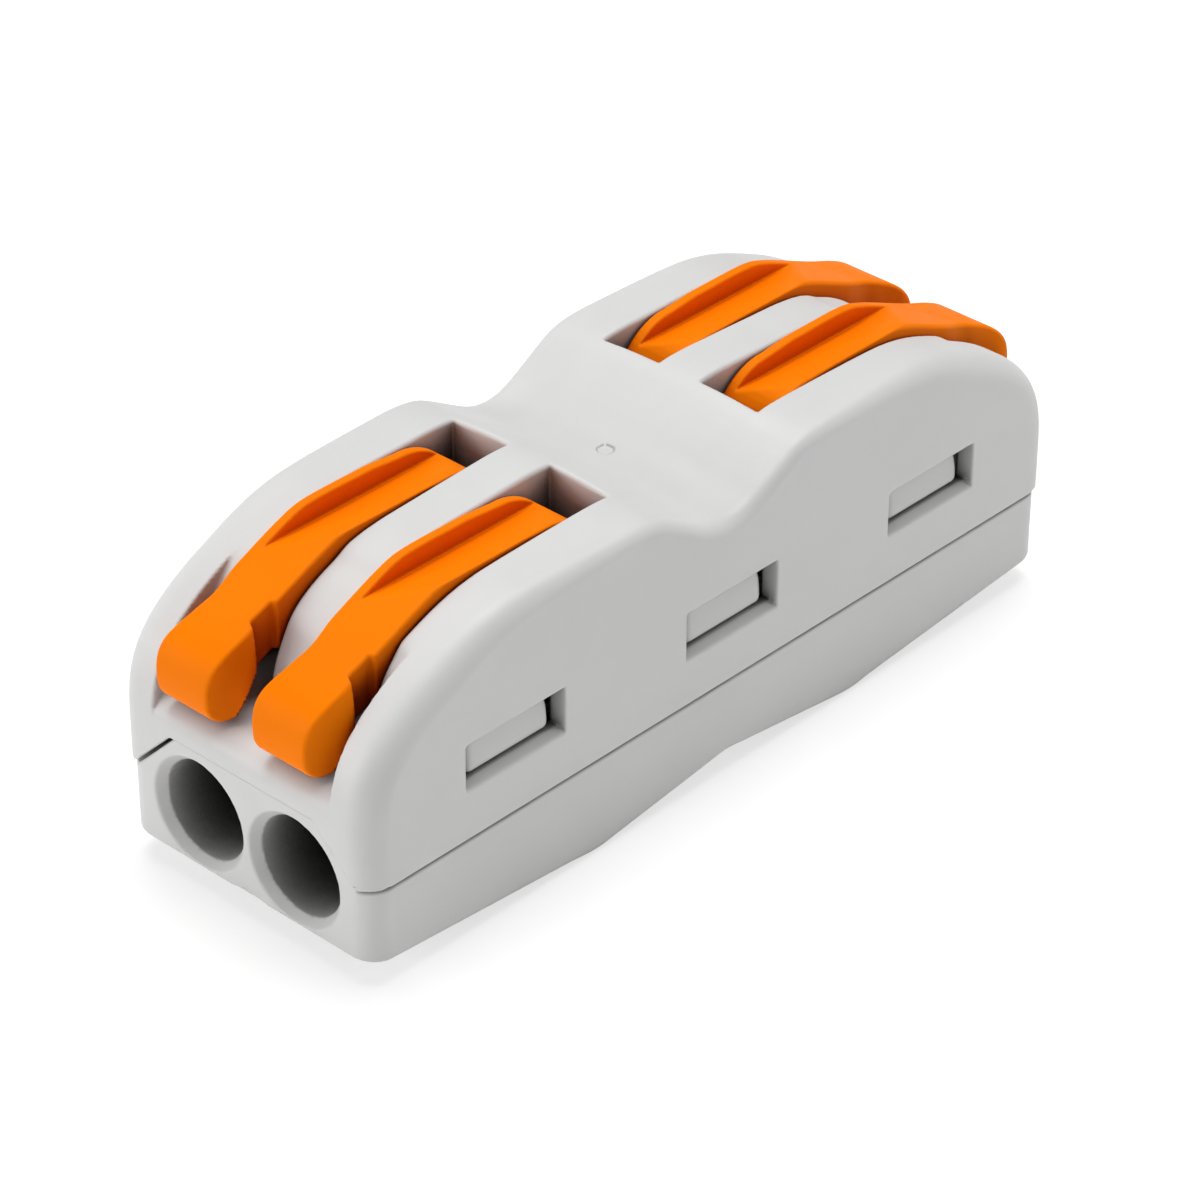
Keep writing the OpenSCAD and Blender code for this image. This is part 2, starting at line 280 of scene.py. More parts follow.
class Outline:
    """Signed distance to a closed x, z outline, held on a fine grid."""

    PITCH = 0.08
    MARGIN = 1.0

    def __init__(self, points):
        p = np.array(points, float)
        self.low = p.min(0) - self.MARGIN
        self.count = np.ceil((p.max(0) + self.MARGIN - self.low) / self.PITCH).astype(int) + 1
        axes = [self.low[k] + self.PITCH * np.arange(self.count[k]) for k in range(2)]
        X, Z = np.meshgrid(*axes, indexing="ij")
        nearest = np.full(X.shape, 1e9)  # squared distance
        inside = np.zeros(X.shape, bool)
        for a, b in zip(p, np.roll(p, -1, 0)):
            d = b - a
            length2 = d @ d
            if length2 < 1e-12:
                continue
            t = np.clip(((X - a[0]) * d[0] + (Z - a[1]) * d[1]) / length2, 0, 1)
            gap2 = (X - a[0] - t * d[0]) ** 2 + (Z - a[1] - t * d[1]) ** 2
            nearest = np.minimum(nearest, gap2)
            if a[1] != b[1]:
                spans = (a[1] > Z) != (b[1] > Z)
                inside ^= spans & (X < (b[0] - a[0]) * (Z - a[1]) / (b[1] - a[1]) + a[0])
        self.distance = np.sqrt(nearest) * np.where(inside, -1, 1)

    def __call__(self, x, z):
        u = (x - self.low[0]) / self.PITCH
        v = (z - self.low[1]) / self.PITCH
        near_u = np.clip(u, 0, self.count[0] - 1.001)
        near_v = np.clip(v, 0, self.count[1] - 1.001)
        i = near_u.astype(np.int32)
        j = near_v.astype(np.int32)
        s = near_u - i
        t = near_v - j
        D = self.distance
        below = D[i, j] * (1 - s) + D[i + 1, j] * s
        above = D[i, j + 1] * (1 - s) + D[i + 1, j + 1] * s
        return below * (1 - t) + above * t + self.PITCH * radial(u - near_u, v - near_v)


# ------------------------------------------------------------------
# meshes
# ------------------------------------------------------------------


def skin(field, low, high, step, mirror=()):
    """Vertices, quads and normals of the surface field = 0.

    Along a mirror axis the grid covers the positive side from 0 and is copied to the other.
    """
    count = [int(math.ceil((b - a) / step)) + 1 for a, b in zip(low, high)]
    axes = [low[k] + step * np.arange(count[k]) for k in range(3)]
    values = field(*np.meshgrid(*axes, indexing="ij"))
    low = np.array(low, float)
    for k in mirror:
        backwards = [slice(None)] * 3
        backwards[k] = slice(None, 0, -1)
        values = np.concatenate([values[tuple(backwards)], values], axis=k)
        low[k] = -step * (count[k] - 1)
    inside = values < 0

    # cells the surface passes through
    shape = tuple(size - 1 for size in values.shape)
    corners = list(itertools.product((0, 1), repeat=3))
    filled = np.zeros(shape, np.int8)
    for corner in corners:
        filled += inside[tuple(slice(c, c + size) for c, size in zip(corner, shape))]
    crossed = (filled > 0) & (filled < 8)
    cells = np.argwhere(crossed)
    number = np.full(shape, -1, np.int64)
    number[crossed] = np.arange(len(cells))

    # one vertex per cell, at the mean of its edge crossings
    total = np.zeros((len(cells), 3))
    hits = np.zeros(len(cells))
    for start in corners:
        for k in range(3):
            if start[k]:
                continue
            end = list(start)
            end[k] = 1
            first = values[tuple((cells + start).T)]
            last = values[tuple((cells + end).T)]
            hit = (first < 0) != (last < 0)
            place = np.tile(np.array(start, float), (len(cells), 1))
            place[:, k] += np.where(hit, first / np.where(hit, first - last, 1), 0)
            total[hit] += place[hit]
            hits[hit] += 1
    start_points = low + step * (cells + total / hits[:, None])

    # one quad round each crossed grid edge
    quads = []
    for k in range(3):
        a, b = (k + 1) % 3, (k + 2) % 3
        edges = np.argwhere(np.diff(inside, axis=k))
        within = (edges[:, a] > 0) & (edges[:, a] < values.shape[a] - 1)
        within &= (edges[:, b] > 0) & (edges[:, b] < values.shape[b] - 1)
        edges = edges[within]
        ring = []
        for da, db in ((-1, -1), (0, -1), (0, 0), (-1, 0)):
            cell = edges.copy()
            cell[:, a] += da
            cell[:, b] += db
            ring.append(number[tuple(cell.T)])
        quad = np.stack(ring, 1)
        entering = ~inside[tuple(edges.T)]
        quad[entering] = quad[entering][:, ::-1]
        quads.append(quad)

    def value(points):
        place = points.T.copy()
        for k in mirror:
            place[k] = np.abs(place[k])
        return field(*place)

    def gradient(points, reach):
        slope = np.empty_like(points)
        for k in range(3):
            shift = np.zeros(3)
            shift[k] = reach
            slope[:, k] = value(points + shift) - value(points - shift)
        return slope / np.maximum(np.linalg.norm(slope, axis=1), 1e-9)[:, None]

    # lay the vertices on the surface, without straying from their cells
    points = start_points
    for _ in range(3):
        slope = gradient(points, 0.02)
        points = points - np.clip(value(points), -0.5 * step, 0.5 * step)[:, None] * slope
        points = start_points + np.clip(points - start_points, -0.6 * step, 0.6 * step)
    return points, np.vstack(quads), gradient(points, 0.045)


def add_object(name, mesh, material, smooth=True):
    if smooth:
        mesh.polygons.foreach_set("use_smooth", np.ones(len(mesh.polygons), bool))
    ob = bpy.data.objects.new(name, mesh)
    bpy.context.scene.collection.objects.link(ob)
    mesh.materials.append(material)
    return ob


def add_skin(name, points, quads, normals, material):
    mesh = bpy.data.meshes.new(name)
    mesh.vertices.add(len(points))
    mesh.vertices.foreach_set("co", (points * MM).astype(np.float32).ravel())
    mesh.loops.add(quads.size)
    mesh.loops.foreach_set("vertex_index", quads.astype(np.int32).ravel())
    mesh.polygons.add(len(quads))
    mesh.polygons.foreach_set("loop_start", (4 * np.arange(len(quads))).astype(np.int32))
    mesh.polygons.foreach_set("loop_total", np.full(len(quads), 4, np.int32))
    mesh.update(calc_edges=True)
    mesh.validate()
    ob = add_object(name, mesh, material)
    mesh.normals_split_custom_set_from_vertices(normals.astype(np.float32))
    return ob


def add_bevel(ob, width, segments, angle):
    bevel = ob.modifiers.new("edge", "BEVEL")
    bevel.width = width * MM
    bevel.segments = segments
    bevel.limit_method = "ANGLE"
    bevel.angle_limit = math.radians(angle)


# ------------------------------------------------------------------
# upper housing
# ------------------------------------------------------------------
# x, z of the top, from the saddle in the middle to the end
UPPER_TOP = [
    (0, 14.7), (0.8, 14.76), (1.6, 15.02), (2.4, 15.42), (3.2, 15.87), (4.0, 16.33), (4.7, 16.68),
    (5.5, 16.9), (6.6, 17.0), (8.5, 17.03), (11, 17.04), (13, 17.02), (14.2, 16.97),
    (15.2, 16.85), (16.2, 16.64), (17.2, 16.34), (18.2, 15.96), (19.2, 15.53), (20.2, 15.06),
    (21.1, 14.56), (21.9, 14.04), (22.7, 13.42), (23.35, 12.78), (23.9, 12.08), (24.32, 11.3),
    (24.6, 10.5), (24.77, 9.6), (24.84, 8.6), (UPPER_HALF_LENGTH, 7.6),
]
upper_side = Outline(
    smooth_line([(-x, z) for x, z in UPPER_TOP[:0:-1]] + UPPER_TOP, 8)
    + [(UPPER_HALF_LENGTH, -6), (-UPPER_HALF_LENGTH, -6)])

# x, z of the recess floor along the middle rib and beside the slots
RIB_FLOOR = [
    (15.3, 16.95), (16.2, 16.64), (17.1, 16.16), (18.2, 15.68), (19.2, 15.1), (19.8, 14.6),
    (20.2, 14.1), (20.55, 13.5), (20.85, 12.9), (21.1, 12.35), (21.3, 11.7), (21.4, 11.0),
]
SLOT_FLOOR = [
    (18.9, 15.75), (19.3, 15.42), (19.8, 14.86), (20.16, 14.42), (20.44, 14.02), (20.66, 13.6),
    (20.85, 13.1), (21.05, 12.55), (21.25, 11.9), (21.4, 11.0),
]


def recess_side(floor_line, lead):
    """What the recess leaves standing; lead closes the outline above the floor line."""
    return Outline([(-30, 20), (-30, -6), (21.45, -6)] + smooth_line(floor_line, 5)[::-1] + lead)


rib_side = recess_side(RIB_FLOOR, [(14.6, 17.4), (13.5, 20)])
slot_side = recess_side(SLOT_FLOOR, [(18.4, 16.3), (17.8, 17.4), (17.0, 20)])

# x stations and radii of the long top edges
TOP_EDGE_X = [0.0, 3.0, 7.0, 12.0, 19.0]
TOP_EDGE_RADIUS = [0.9, 0.72, 0.68, 0.95, 1.5]
CROWN = 0.42
RECESS_HALF_WIDTH = 5.93
LEVER_SLOT = ((5.4, 1.4, 9.0), (40, 5.1, 30), 0.03)
LEDGE_TOP, LEDGE_HALF_WIDTH, LEDGE_X = 9.95, 6.4, 17.8
# low corner, high corner, edge radius
UPPER_HOLLOWS = [
    ((0.7, 1.4, -5), (17.8, 5.35, 11.45), 0.1),  # spring chamber
    ((-2, 1.4, -5), (2, 5.35, 6.7), 0.05),  # passage between the two ends' chambers
    ((-2, 5.3, -5), (18.6, 7.4, 11.45), 0.1),  # channel for the lower housing's tabs
]
SOCKET_TOP, SOCKET_SHOULDER_Y, SOCKET_HALF_WIDTH, SOCKET_X = 8.26, 4.82, 7.62, 16.6
SEAT_HALF_WIDTH = 2.8
WINDOW_HALF, WINDOW_INNER_Y, WINDOW_TOP = 3.3, 7.0, 10.85
MIDDLE_SILL, OUTER_SILL = 8.1, 8.25
GATE_RADIUS, GATE_FLOOR = 0.42, 15.02


def from_latch(x):
    """Distance along x from the nearest latch; negative only left of the middle."""
    return np.minimum(np.abs(x - LATCH_X), x)


def upper_hollow(x, y, z):
    """Chambers, the socket for the wire entry block, and the trunnion seats."""
    shoulder = slope45(y - SOCKET_SHOULDER_Y, z - SOCKET_TOP)
    socket = np.maximum(np.maximum(z - SOCKET_TOP, shoulder), y - SOCKET_HALF_WIDTH)
    socket = meet(socket, SOCKET_X - x, 0.1)
    seat = radial(x - PIVOT_X, z - PIVOT_Z) - SEAT_RADIUS
    seat = np.minimum(
        seat, box2(x, z, PIVOT_X - SEAT_RADIUS, PIVOT_X + SEAT_RADIUS, 9, PIVOT_Z))
    seat = np.maximum(seat, np.abs(y - POLE_Y) - SEAT_HALF_WIDTH)
    return np.minimum(boxes(x, y, z, UPPER_HOLLOWS), np.minimum(socket, seat))


def upper(x, y, z):
    """The upper housing's +X +Y quarter."""
    # the saddle and the inner ends of the humps are slightly crowned
    crown = CROWN * smoothstep((15.0 - x) / 12.0) * np.clip(1 - (y / 7.8) ** 3, 0, 1) ** 2
    edge = np.interp(x, TOP_EDGE_X, TOP_EDGE_RADIUS)
    body = meet(upper_side(x, z - crown), y - UPPER_HALF_WIDTH, edge)
    # recess round the lever tips
    kept = np.where(y < POLE_Y, rib_side(x, z), slot_side(x, z))
    body = cut(body, meet(-kept, y - RECESS_HALF_WIDTH, 0.12), 0.12)
    body = cut(body, box3(x, y, z, *LEVER_SLOT), 0.24)
    # finger ledge
    ledge = meet(upper_side(x, z), z - LEDGE_TOP, 1.2)
    ledge = np.maximum(np.maximum(ledge, y - LEDGE_HALF_WIDTH), LEDGE_X - x)
    body = np.maximum(np.minimum(body, ledge), -upper_hollow(x, y, z))
    # latch windows, their sills sloping down outwards
    sill = np.where(x < 6, MIDDLE_SILL, OUTER_SILL)
    window = box3(from_latch(x), y, z, (-WINDOW_HALF, WINDOW_INNER_Y, sill),
                  (WINDOW_HALF, 12, WINDOW_TOP), 0.08)
    sill_slope = (sill + 0.5 * np.clip(UPPER_HALF_WIDTH - y, 0, 0.55) - z) * 0.89
    body = cut(body, np.maximum(window, sill_slope), 0.1)
    # gate mark on the saddle
    body = cut(body, meet(radial(x, y) - GATE_RADIUS, GATE_FLOOR - z, 0.05), 0.06)
    # parting face
    return meet(body, (PARTING_Z + 0.09) - z, 0.1)


# ------------------------------------------------------------------
# lower housing
# ------------------------------------------------------------------
# x, z of the underside, from the end to the middle
LOWER_UNDERSIDE = (
    [(LOWER_HALF_LENGTH + 3, 9.0), (LOWER_HALF_LENGTH + 3, 1.47), (11.2, 0.17)]
    + smooth_line([(10.6, 0.1), (10.0, 0.03), (9.4, 0.0), (8.8, 0.03), (8.2, 0.1)], 5)
    + [(1.2, 0.93), (0.5, 1.03), (0.0, 1.06)])
lower_side = Outline(mirrored(LOWER_UNDERSIDE))

BLOCK_TOP, BLOCK_SHOULDER_Y, BLOCK_HALF_WIDTH, BLOCK_X = 8.12, 4.66, 7.45, 16.8
TAB = ((-2.9, 6.2, 3), (2.9, 7.2, 11.1), 0.1)
NOSE_HALF, NOSE_TOP, NOSE_Y = 2.8, 11.1, 7.97
MIDDLE_FOOT, OUTER_FOOT = 8.42, 8.57  # undersides of the latch noses
# low corner, high corner, edge radius
LOWER_TRAYS = [
    ((6.5, 1.4, 1.5), (16.8, 6.2, 14), 0.15),
    ((-5, 5.4, 2.2), (3.3, 6.2, 14), 0.05),
    ((-9, 5.3, WIRE_STOP_Z), (6.6, 6.2, 14), 0.0),
    ((-9, 1.3, WIRE_STOP_Z), (6.6, 5.4, 14), 0.0),
]
# x stations and radii of the wire entry, from its funnel to its countersink
ENTRY_X = [16.0, 16.8, 18.65, 24.12, LOWER_HALF_LENGTH, 24.8]
ENTRY_RADIUS = [1.6, 1.6, 2.65, 2.65, 3.08, 3.16]


def entry_block(x, y, z, side_y, plan):
    """The raised wire entry block with sloping shoulders."""
    # the front shoulder sits tight in the upper housing, the rear one leaves a slit
    reach = np.where(side_y < 0, 0.24, 0.06)
    edge = np.where(side_y < -1.5, 0.04, 0.1)
    shoulder = slope45(y - BLOCK_SHOULDER_Y - reach, z - BLOCK_TOP)
    block = meet(z - BLOCK_TOP, shoulder, 0.12)
    block = meet(np.maximum(block, y - BLOCK_HALF_WIDTH), plan, edge)
    return np.maximum(meet(block, BLOCK_X - x, 0.1), 3.0 - z)


def latches(x, y, z):
    along = from_latch(x)
    foot = np.where(x < 6, MIDDLE_FOOT, OUTER_FOOT)
    front_face = y - (NOSE_Y - 0.13 * np.maximum(z - 9.0, 0) ** 2)
    nose = meet(box2(along, z, -NOSE_HALF, NOSE_HALF, foot, NOSE_TOP, 0.4), front_face, 0.45)
    return np.minimum(box3(along, y, z, *TAB), np.maximum(nose, 6.6 - y))


def lower(x, side_y, z):
    """The lower housing's +X half; side_y keeps its sign for the unlike shoulders."""
    y = np.abs(side_y)
    plan = box2(x, y, -LOWER_HALF_LENGTH, LOWER_HALF_LENGTH,
                -LOWER_HALF_WIDTH, LOWER_HALF_WIDTH, 1.4)
    body = meet(plan, lower_side(x, z), 0.4)
    body = meet(body, z - (PARTING_Z - 0.13), 0.12)
    body = np.minimum(body, entry_block(x, y, z, side_y, plan))
    body = np.minimum(body, latches(x, y, z))
    body = np.maximum(body, -boxes(x, y, z, LOWER_TRAYS))
    # wire entries with their countersinks and funnels
    radius = np.interp(x, ENTRY_X, ENTRY_RADIUS)
    hole = np.maximum((radial(y - POLE_Y, z - WIRE_Z) - radius) * 0.9, 15.5 - x)
    body = cut(body, hole, 0.07)
    # shallow scallop in the lower edge between the two entries
    arch = np.maximum((z - 1.6 + 0.26 * y * y) * 0.88, (LOWER_HALF_LENGTH - 0.22) - x)
    return cut(body, arch, 0.12)


# ------------------------------------------------------------------
# lever, closed, at the +X end
# ------------------------------------------------------------------
LEVER_TOP_Z = 17.3
# x, z along the top to the foremost point of the tip
LEVER_TOP = [
    (15.4, LEVER_TOP_Z), (16.3, 17.18), (17.3, 16.85), (18.4, 16.4), (19.8, 15.78),
    (21.0, 15.27), (22.0, 14.88), (23.0, 14.46), (23.8, 14.05), (24.4, 13.55), (24.8, 12.95),
    (24.98, 12.25), (24.99, 11.5),
]
# x, z on round the tip and back underneath it
LEVER_TIP = [(24.9, 10.95), (24.6, 10.48), (24.1, 10.27), (23.5, 10.48), (22.5, 11.4), (21.6, 12.25)]
CAM_RADIUS, CAM_GROWTH = 1.95, 0.84  # start, and growth per radian
HUB_RADIUS = 3.72
PIN_HALF_WIDTH = 2.72


def cam(angle):
    """Point of the involute-like cam under the pivot, from straight below (0) onwards."""
    reach = CAM_RADIUS + CAM_GROWTH * angle
    sine, cosine = math.sin(angle), math.cos(angle)
    return (PIVOT_X - (reach * sine + CAM_GROWTH * cosine),
            PIVOT_Z + (-reach * cosine + CAM_GROWTH * sine))


def hub(angle):
    return PIVOT_X - HUB_RADIUS * math.sin(angle), PIVOT_Z - HUB_RADIUS * math.cos(angle)


arm_side = Outline(
    [cam(math.radians(a)) for a in range(0, 107, 6)]
    + [hub(math.radians(a)) for a in range(127, 184, 6)]
    + smooth_line([(11.6, LEVER_TOP_Z)] + LEVER_TOP + LEVER_TIP, 6)
    + [(20.6, 12.75), (19.6, 12.95), (12.9, 13.05), (12.3, 12.8), (11.6, 12.1),
       (10.9, cam(0)[1])])

# x, half width on the side with the soft waist
WAIST_SIDE = smooth_line([
    (0, 1.75), (19.4, 1.75), (20.2, 1.73), (20.8, 1.64), (21.4, 1.54), (21.9, 1.52),
    (22.6, 1.62), (23.2, 1.71), (23.8, 1.86), (24.3, 2.03), (24.7, 2.12), (25.2, 2.16)], 6)
# x, half width on the facet's side, with its notch
FACET_SIDE = [
    (0, 1.75), (20.62, 1.75), (20.68, 1.72), (20.78, 1.5), (20.86, 1.46), (22.1, 1.44),
    (22.3, 1.53),
] + smooth_line([
    (22.6, 1.6), (23.3, 1.58), (23.8, 1.52), (24.2, 1.44), (24.6, 1.31), (24.85, 1.2),
    (25.2, 1.02)], 6)
# x, half width that replaces the notch, up to the last x
NO_NOTCH = [(20.0, 1.75), (21.5, 1.76), (22.6, 1.84), (23.3, 1.85)]
# x, widening of the facet per mm below the top
FACET_FLARE = smooth_line([
    (21.7, 0.35), (22.2, 0.33), (22.7, 0.25), (23.2, 0.12), (23.7, 0.02), (24.2, -0.03),
    (24.7, -0.04), (25.3, -0.03)], 8)
FLARE_LIMIT, FLARE_SOFTNESS = 0.42, 0.12
GROOVE_Z, GROOVE_SLOPE = 16.2, math.radians(18.6)


def along(x, table):
    return np.interp(x, *zip(*table))


def facet_half_width(x, z, hand):
    """Half width on the facet's side, which flares downwards behind the tip."""
    drop = np.maximum(along(x, LEVER_TOP) - z, 0)
    onset = 22.05 + 0.12 * drop + 0.55 * np.maximum(drop - 2.0, 0)
    behind = smoothstep((x - onset) / 0.26)
    flare = drop * along(x, FACET_FLARE)
    excess = np.log1p(np.exp((flare - FLARE_LIMIT) / FLARE_SOFTNESS))
    flare = flare - FLARE_SOFTNESS * excess
    width = along(x, FACET_SIDE) + behind * 0.27
    if hand < 0:
        width = np.where(x < NO_NOTCH[-1][0], along(x, NO_NOTCH), width)
    return width + behind * flare


def lever(x, y, z, hand):
    """y is from the pole's middle plane.

    With hand 1 the tip's facet is on the -y side, behind a notch; with -1 it is on the +y
    side, with no notch.
    """
    body = meet(arm_side(x, z), (hand * y - along(x, WAIST_SIDE)) * 0.97, 0.22)
    body = meet(body, (-hand * y - facet_half_width(x, z, hand)) * 0.94, 0.16)
    # thumb groove: one steep wall, one gentle slope
    height = z - GROOVE_Z
    gentle = -((y - 1.1) * math.sin(GROOVE_SLOPE) + height * math.cos(GROOVE_SLOPE))
    steep = (y - 1.12) * 0.985 - height * 0.05
    body = cut(body, meet(gentle, steep, 0.06), 0.1)
    pin = radial(x - PIVOT_X, z - PIVOT_Z) - PIN_RADIUS
    return np.minimum(body, meet(pin, np.abs(y) - PIN_HALF_WIDTH, 0.12))


# ------------------------------------------------------------------
# materials
# ------------------------------------------------------------------


class Shader:
    """A material with a Principled surface and short ways to add nodes."""

    def __init__(self, name):
        self.material = bpy.data.materials.new(name)
        self.material.use_nodes = True
        self.tree = self.material.node_tree
        self.tree.nodes.clear()
        self.output = self.add("ShaderNodeOutputMaterial")
        self.surface = self.add("ShaderNodeBsdfPrincipled")
        self.link(self.surface.outputs[0], self.output.inputs[0])
        self.place = self.add("ShaderNodeTexCoord").outputs["Object"]

    def add(self, kind, **inputs):
        node = self.tree.nodes.new(kind)
        for name, value in inputs.items():
            node.inputs[name].default_value = value
        return node

    def link(self, source, target):
        self.tree.links.new(source, target)

    def feed(self, source, name):
        self.link(source, self.surface.inputs[name])

    def set(self, values):
        for name, value in values.items():
            self.surface.inputs[name].default_value = value

    def noise(self, scale, detail, stretch=None, rough=0.5):
        node = self.add("ShaderNodeTexNoise", Scale=scale, Detail=detail, Roughness=rough)
        source = self.place
        if stretch:
            mapping = self.add("ShaderNodeMapping", Scale=stretch)
            self.link(source, mapping.inputs["Vector"])
            source = mapping.outputs["Vector"]
        self.link(source, node.inputs["Vector"])
        return node.outputs["Fac"]

    def ramp(self, factor, stops):
        """Stops are position, then a colour or a grey level."""
        node = self.add("ShaderNodeValToRGB")
        elements = node.color_ramp.elements
        while len(elements) < len(stops):
            elements.new(0.5)
        for element, (position, color) in zip(elements, stops):
            element.position = position
            element.color = (*color, 1) if isinstance(color, tuple) else (color,) * 3 + (1,)
        self.link(factor, node.inputs["Fac"])
        return node.outputs["Color"]

    def multiply(self, a, b):
        node = self.add("ShaderNodeMix")
        node.data_type = "RGBA"
        node.blend_type = "MULTIPLY"
        node.inputs[0].default_value = 1.0
        self.link(a, node.inputs[6])
        self.link(b, node.inputs[7])
        return node.outputs[2]

    def shade_hollows(self, color, samples, reach, stops, own_only=False):
        # paints shade into the colour: multiplies it by a ramp of ambient occlusion
        node = self.add("ShaderNodeAmbientOcclusion", Distance=reach)
        node.samples = samples
        node.only_local = own_only
        return self.multiply(color, self.ramp(node.outputs["AO"], stops))

    def bump(self, height, strength, distance, under=None):
        node = self.add("ShaderNodeBump", Strength=strength, Distance=distance)
        self.link(height, node.inputs["Height"])
        if under is not None:
            self.link(under, node.inputs["Normal"])
        return node.outputs["Normal"]


def plastic(name, color, cloud_color, grain, painted_gap_shade, hollow, reach, own_only,
            subsurface, subsurface_radius, specular, rough=0.50):
    """Moulded plastic: fine grain, faint clouding, dirt and lost light in the hollows.

    The gap ramp and the hollow ramp are painted shade: they darken the base colour by ambient occlusion, in narrow
    gaps and in hollows up to reach metres.
    """
    shader = Shader(name)
    cloud = shader.noise(scale=90.0, detail=3.0)
    flow = shader.noise(scale=220.0, detail=4.0, stretch=(0.35, 1.6, 1.0))
    base = shader.ramp(cloud, [(0.3, cloud_color), (0.72, color)])
    base = shader.multiply(base, shader.ramp(flow, [(0.3, 0.975), (0.7, 1.0)]))
    # painted shade: the base colour is darkened by ambient occlusion, first in narrow gaps within 1.4 mm, then in
    # holes and pockets
    base = shader.shade_hollows(base, samples=6, reach=0.0014, stops=painted_gap_shade)
    base = shader.shade_hollows(base, samples=8, reach=reach, stops=hollow, own_only=own_only)
    shader.feed(base, "Base Color")
    patches = shader.noise(scale=700.0, detail=3.0)
    shader.feed(shader.ramp(patches, [(0.25, rough - 0.06), (0.75, rough + 0.06)]), "Roughness")
    fine = shader.noise(scale=5200.0, detail=3.0, rough=0.6)
    coarse = shader.noise(scale=1400.0, detail=2.0)
    normal = shader.bump(fine, strength=grain, distance=0.00003)
    normal = shader.bump(coarse, strength=grain * 0.5, distance=0.00005, under=normal)
    shader.feed(normal, "Normal")
    shader.set({
        "Specular IOR Level": specular,
        "Subsurface Weight": subsurface,
        "Subsurface Radius": subsurface_radius,
        "Subsurface Scale": 0.0006,
    })
    return shader.material


def metal(name, color, stain_color, rough, scratch):
    """Rolled strip: fine rolling lines along X, small stains and softly varied shine."""
    shader = Shader(name)
    lines = shader.noise(scale=40.0, detail=5.0, stretch=(0.45, 13.0, 13.0), rough=0.65)
    stain = shader.noise(scale=420.0, detail=3.0)
    base = shader.ramp(stain, [(0.3, stain_color), (0.65, color)])
    base = shader.multiply(base, shader.ramp(lines, [(0.25, 0.82), (0.75, 1)]))
    shader.feed(base, "Base Color")
    shader.feed(shader.ramp(lines, [(0.2, rough - 0.07), (0.8, rough + 0.1)]), "Roughness")
    shader.feed(shader.bump(lines, strength=scratch, distance=0.00002), "Normal")
    shader.set({"Metallic": 1.0, "Anisotropic": 0.4})
    return shader.material


def paper():
    """Seen straight on the paper is nearly white; what it throws back is weaker."""
    shader = Shader("floor_paper")
    cloud = shader.noise(scale=60.0, detail=4.0)
    shader.feed(shader.ramp(cloud, [(0.3, 0.43), (0.7, 0.45)]), "Base Color")
    shader.set({
        "Roughness": 0.9,
        "Specular IOR Level": 0.1,
        "Emission Color": (1, 1, 1, 1),
        "Emission Strength": 0.66,
    })
    bounce = shader.add("ShaderNodeBsdfDiffuse", Color=(0.97, 0.97, 0.97, 1))
    rays = shader.add("ShaderNodeLightPath")
    mix = shader.add("ShaderNodeMixShader")
    shader.link(rays.outputs["Is Camera Ray"], mix.inputs[0])
    shader.link(bounce.outputs[0], mix.inputs[1])
    shader.link(shader.surface.outputs[0], mix.inputs[2])
    shader.link(mix.outputs[0], shader.output.inputs[0])
    return shader.material


GREY = plastic(
    "grey_moulded_plastic", color=(0.69, 0.69, 0.685), cloud_color=(0.665, 0.665, 0.66),
    grain=0.20,
    # painted shade: slightly darker in narrow gaps, nearly black deep in the wire holes and slot pockets
    painted_gap_shade=[(0.0, (0.55, 0.545, 0.53)), (0.45, (0.9, 0.895, 0.89)), (0.8, 1)],
    hollow=[(0.0, (0.008, 0.008, 0.007)), (0.12, (0.02, 0.02, 0.018)),
            (0.21, (0.07, 0.07, 0.066)), (0.29, (0.34, 0.34, 0.33)), (0.38, (0.7, 0.7, 0.69)),
            (0.46, (0.88, 0.88, 0.875)), (0.62, 1)],
    reach=0.02, own_only=True,
    subsurface=0.04, subsurface_radius=(1.0, 0.75, 0.6), specular=0.5)
ORANGE = plastic(
    "orange_moulded_plastic", color=(1.0, 0.222, 0.0005), cloud_color=(0.96, 0.206, 0.0003),
    grain=0.14,
    # painted shade: darker and redder in narrow gaps and where the housing closes round the levers, other parts
    # included
    painted_gap_shade=[(0.0, (0.80, 0.74, 0.7)), (0.75, 1)],
    hollow=[(0.0, (0.10, 0.03, 0.02)), (0.2, (0.32, 0.14, 0.1)), (0.45, (0.86, 0.72, 0.6)),
            (0.66, 1)],
    reach=0.006, own_only=False,
    subsurface=0.02, subsurface_radius=(1.0, 0.35, 0.08), specular=0.04)
STEEL = metal("rolled_spring_steel", color=(0.62, 0.61, 0.59), stain_color=(0.50, 0.49, 0.47),
              rough=0.28, scratch=0.35)
TIN = metal("tinned_copper", color=(0.76, 0.73, 0.68), stain_color=(0.66, 0.61, 0.54),
            rough=0.36, scratch=0.2)

# ------------------------------------------------------------------
# housings and levers
# ------------------------------------------------------------------


def add_housing(piece, field, low, high, mirror):
    ob = add_skin(f"{piece}_shell", *skin(field, low, high, HOUSING_STEP, mirror), GREY)
    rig.replaces(ob, piece)
    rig.slot(ob, "housing")
    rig.ride(ob, "housing")


def add_levers(side, side_sign):
    """Both poles' levers at one end; their facets face opposite ways at the two ends."""
    points, quads, normals = skin(
        lambda x, y, z: lever(x, y, z, hand=-side_sign),
        (5.5, -2.95, 10.1), (25.4, 2.95, 17.8), LEVER_STEP)
    flip = (side_sign, 1, 1)
    if side_sign < 0:
        quads = quads[:, ::-1]
    for row, row_sign in ROWS:
        placed = points * flip + (0, row_sign * POLE_Y, 0)
        ob = add_skin(f"lever_{side}_{row}_moulding", placed, quads, normals * flip, ORANGE)
        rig.replaces(ob, f"lever_{side}_{row}")
        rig.slot(ob, "lever")
        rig.ride(ob, f"lever_body_{side}_{row}")


